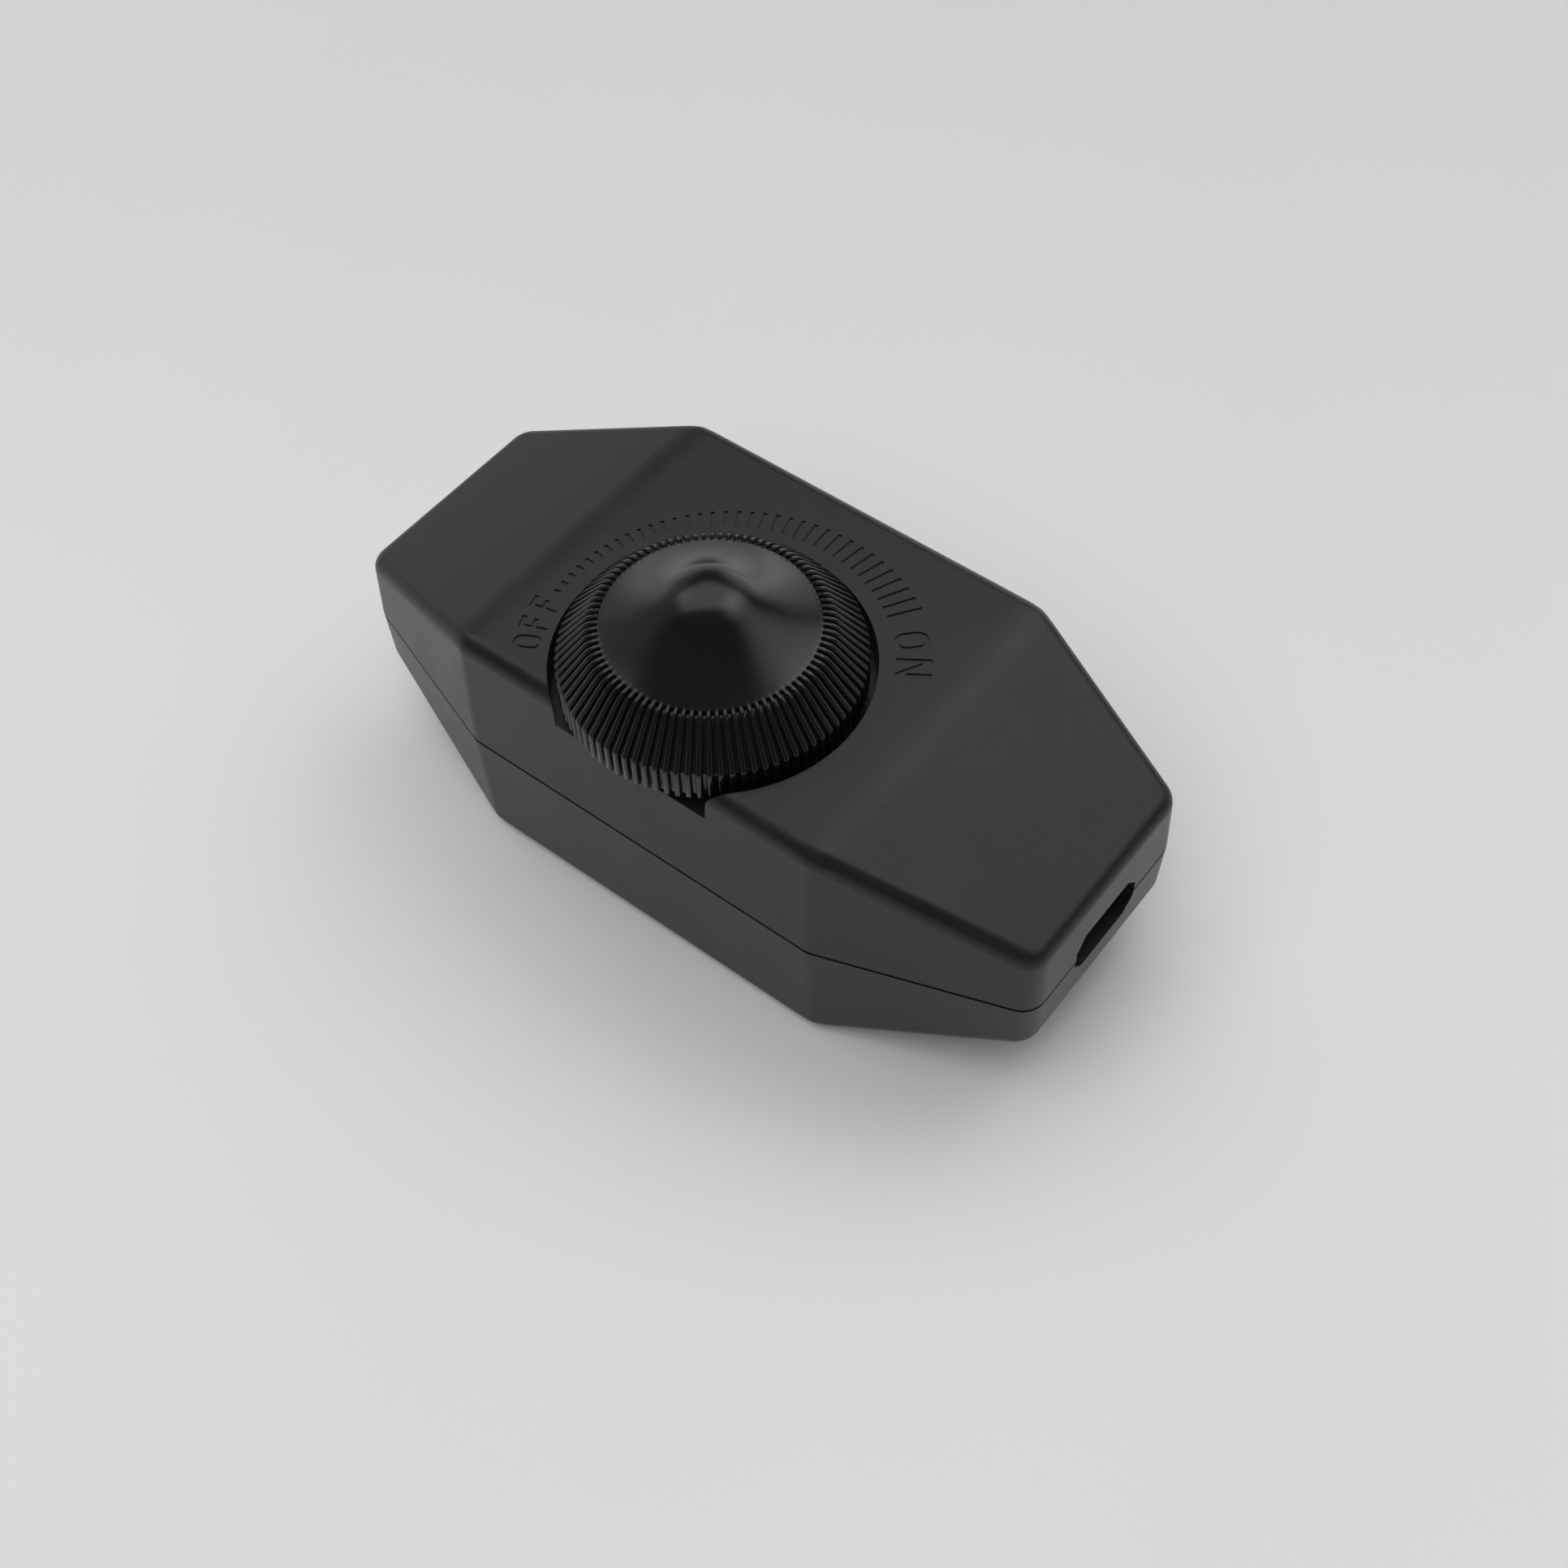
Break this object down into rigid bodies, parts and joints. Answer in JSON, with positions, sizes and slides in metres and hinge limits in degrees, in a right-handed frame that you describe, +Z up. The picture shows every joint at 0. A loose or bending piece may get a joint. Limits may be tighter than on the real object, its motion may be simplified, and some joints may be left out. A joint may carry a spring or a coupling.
{
  "type": "rotary cord dimmer",
  "caption": "Inline cord dimmer: an elongated eight-sided two-shell housing with sloping ends, a knurled thumbwheel that turns from off to full light, and a flat cord entry at each end.",
  "frame": {"origin": "middle of the flat underside, at the height of the surface it rests on", "axes": "+Z up along the thumbwheel's axis, +X along the cord towards the lamp, -Y towards the side where the thumbwheel stands out"},
  "size_m": [0.08, 0.0386, 0.0386],
  "materials": {
    "cover_plastic": "fine moulded texture, charcoal",
    "base_plastic": "fine moulded texture, charcoal",
    "knob_plastic": "smooth semi-gloss, black",
    "zinc_steel": "zinc plated",
    "die_cast": "die cast",
    "brass": "bright",
    "tinned_copper": "tinned",
    "board": "phenolic laminate",
    "wafer": "phenolic laminate",
    "switch_case": "moulded",
    "rotor_plastic": "acetal",
    "epoxy": "moulded epoxy",
    "sink": "mill finish",
    "film_case": "potted case",
    "small_film": "dipped",
    "ferrite": "powder core",
    "copper_wire": "enamelled copper",
    "resistor": "lacquered",
    "fuse_case": "lacquered",
    "diac_case": "lacquered",
    "terminal_plastic": "moulded",
    "clamp_plastic": "moulded"
  },
  "bodies": {
    "housing": {"top_cover": "cover_plastic", "base_shell": "base_plastic", "pot_bushing": "die_cast", "pot_can": "zinc_steel", "pot_wafer": "wafer", "pot_terminals": "tinned_copper", "pot_switch": "switch_case", "pot_switch_pins": "tinned_copper", "heat_sink": "sink", "triac_frame": "tinned_copper", "triac_case": "epoxy", "triac_screw": "zinc_steel", "choke_core": "ferrite", "choke_winding": "copper_wire", "filter_capacitor": "film_case", "timing_capacitor": "small_film", "resistors": "resistor", "fuse": "fuse_case", "diac": "diac_case", "circuit_board": "board", "input_terminal": "terminal_plastic", "output_terminal": "terminal_plastic", "terminal_cages": "brass", "terminal_screws": "zinc_steel", "input_cord_clamp": "clamp_plastic", "output_cord_clamp": "clamp_plastic", "housing_screws": "zinc_steel", "clamp_screws": "zinc_steel", "board_screws": "zinc_steel"},
    "thumbwheel": {"control_knob": "knob_plastic", "pot_shaft": "die_cast", "pot_rotor": "rotor_plastic", "pot_wiper": "brass"}
  },
  "joints": [
    {"name": "thumbwheel_turn", "type": "hinge", "parent": "housing", "child": "thumbwheel", "pos_m": [0, -0.0058, 0.0302], "axis": [0, 0, -1], "range_deg": [0, 280]}
  ]
}
